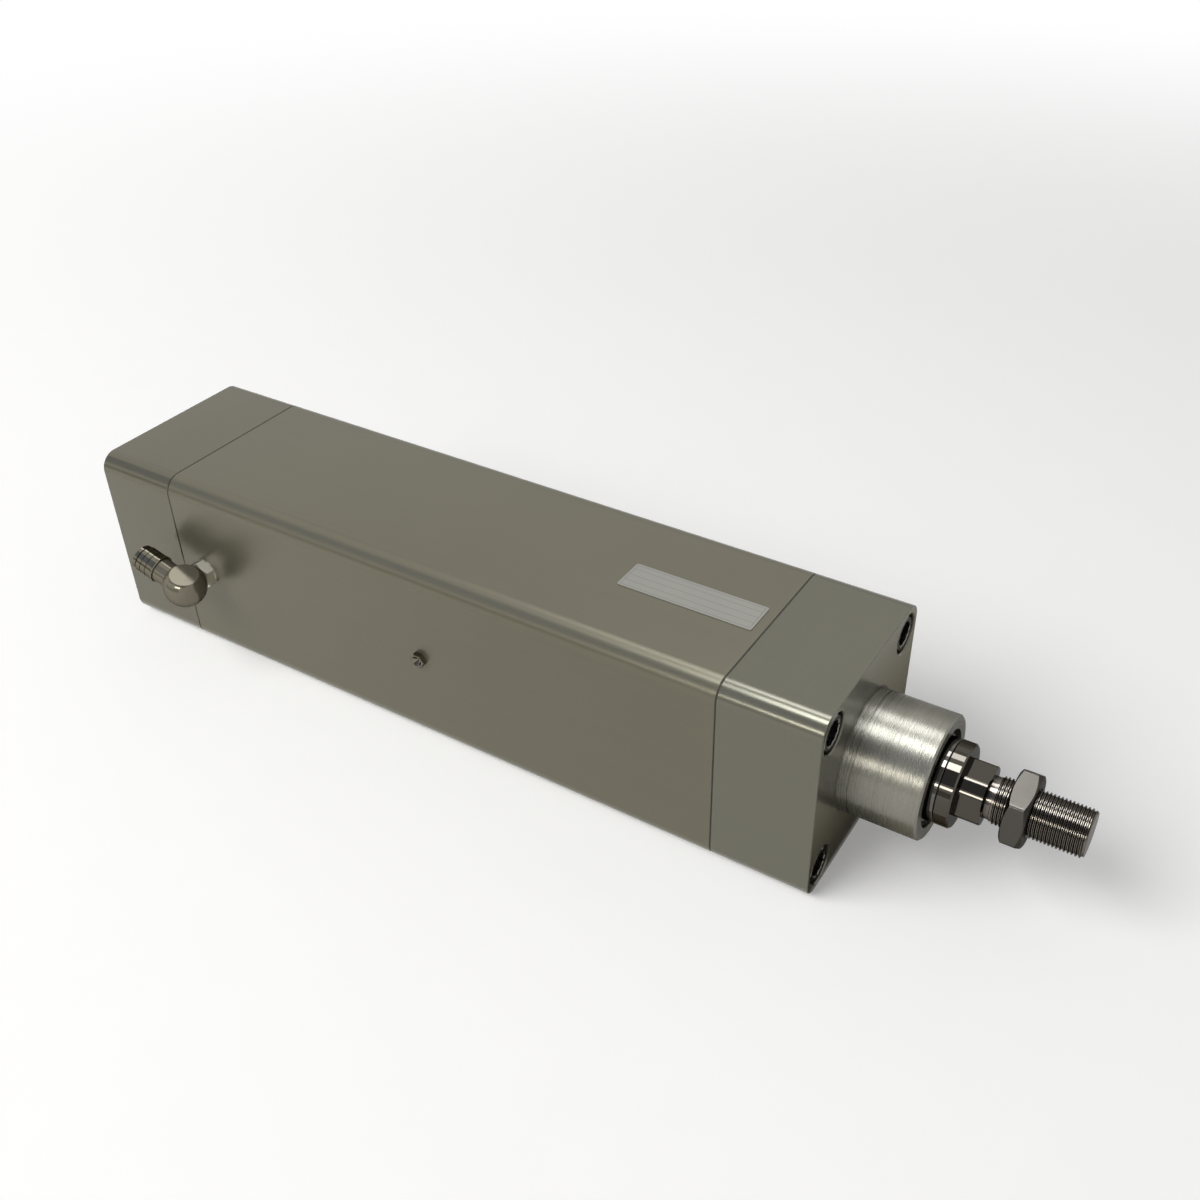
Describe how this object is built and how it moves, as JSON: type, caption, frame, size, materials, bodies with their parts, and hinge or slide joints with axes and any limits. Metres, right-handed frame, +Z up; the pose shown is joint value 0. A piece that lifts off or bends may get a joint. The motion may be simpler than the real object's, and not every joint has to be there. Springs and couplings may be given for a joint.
{
  "type": "electric cylinder",
  "caption": "Square-bodied electric cylinder: a ball screw inside drives a hollow rod with a threaded end and lock nut; air elbow and grease nipple on one side.",
  "frame": {"origin": "where the rod's axis meets the front mounting face", "axes": "+X along the rod, the way it comes out; +Z up, the side with the plate; -Y the side with the elbow and the grease nipple"},
  "size_m": [0.5193, 0.1201, 0.0953],
  "materials": {
    "anodised_body": "matt natural anodised",
    "turned_aluminium": "fine turned",
    "chromed_rod": "ground hard chrome",
    "bright_steel": "turned stainless",
    "hardened_steel": "ground",
    "dark_steel": "zinc plated",
    "nickel_brass": "nickel plated",
    "bronze": "machined bronze",
    "slide_polymer": "slide polymer",
    "seal_rubber": "matt nitrile",
    "plate_film": "satin film"
  },
  "bodies": {
    "housing": {"barrel": "anodised_body", "front_cap": "anodised_body", "rear_cap": "anodised_body", "guide_sleeve": "turned_aluminium", "front_cap_screws": "bright_steel", "rear_cap_screws": "bright_steel", "front_gasket": "seal_rubber", "rear_gasket": "seal_rubber", "rod_guide_bush": "bronze", "rod_seal": "seal_rubber", "rod_wiper": "seal_rubber", "front_buffer": "seal_rubber", "rear_buffer": "seal_rubber", "bearing_outer_ring": "hardened_steel", "bearing_retainer": "dark_steel", "shaft_seal": "seal_rubber", "type_plate": "plate_film", "grease_nipple": "dark_steel", "fitting_stem": "nickel_brass", "fitting_washer": "seal_rubber"},
    "rod": {"rod_tube": "chromed_rod", "rod_end": "bright_steel", "lock_nut": "bright_steel", "nut_carrier": "turned_aluminium", "ball_nut": "hardened_steel", "ball_nut_screws": "dark_steel", "guide_pads": "slide_polymer", "carrier_guide_ring": "slide_polymer"},
    "screw": {"ball_screw": "hardened_steel", "bearing_inner_rings": "hardened_steel", "bearing_lock_nut": "dark_steel", "screw_tip_bush": "slide_polymer", "screw_tip_clip": "dark_steel"},
    "ball_set": {"bearing_balls": "hardened_steel"},
    "elbow": {"elbow": "nickel_brass", "tube_collar": "nickel_brass", "tube_seal": "seal_rubber", "swivel_oring": "seal_rubber", "swivel_clip": "dark_steel"},
    "release": {"release_sleeve": "nickel_brass"}
  },
  "joints": [
    {"name": "rod_slide", "type": "slide", "parent": "housing", "child": "rod", "axis": [1, 0, 0], "range_m": [0, 0.2]},
    {"name": "screw_spin", "type": "hinge", "parent": "housing", "child": "screw", "pos_m": [0, 0, 0], "axis": [1, 0, 0], "range_deg": [-7205, 5]},
    {"name": "ball_orbit", "type": "hinge", "parent": "housing", "child": "ball_set", "pos_m": [0, 0, 0], "axis": [1, 0, 0], "range_deg": [-3150, 5]},
    {"name": "elbow_swivel", "type": "hinge", "parent": "housing", "child": "elbow", "pos_m": [-0.33, -0.0475, 0], "axis": [0, -1, 0], "continuous": true},
    {"name": "release_push", "type": "slide", "parent": "elbow", "child": "release", "axis": [0.9613, 0, -0.2756], "range_m": [0, 0.0005], "stiffness_N_per_m": 300}
  ],
  "couplings": [
    {"joint": "screw_spin", "follows": "rod_slide", "rad_per_m": -628.32},
    {"joint": "ball_orbit", "follows": "rod_slide", "rad_per_m": -274.4}
  ]
}
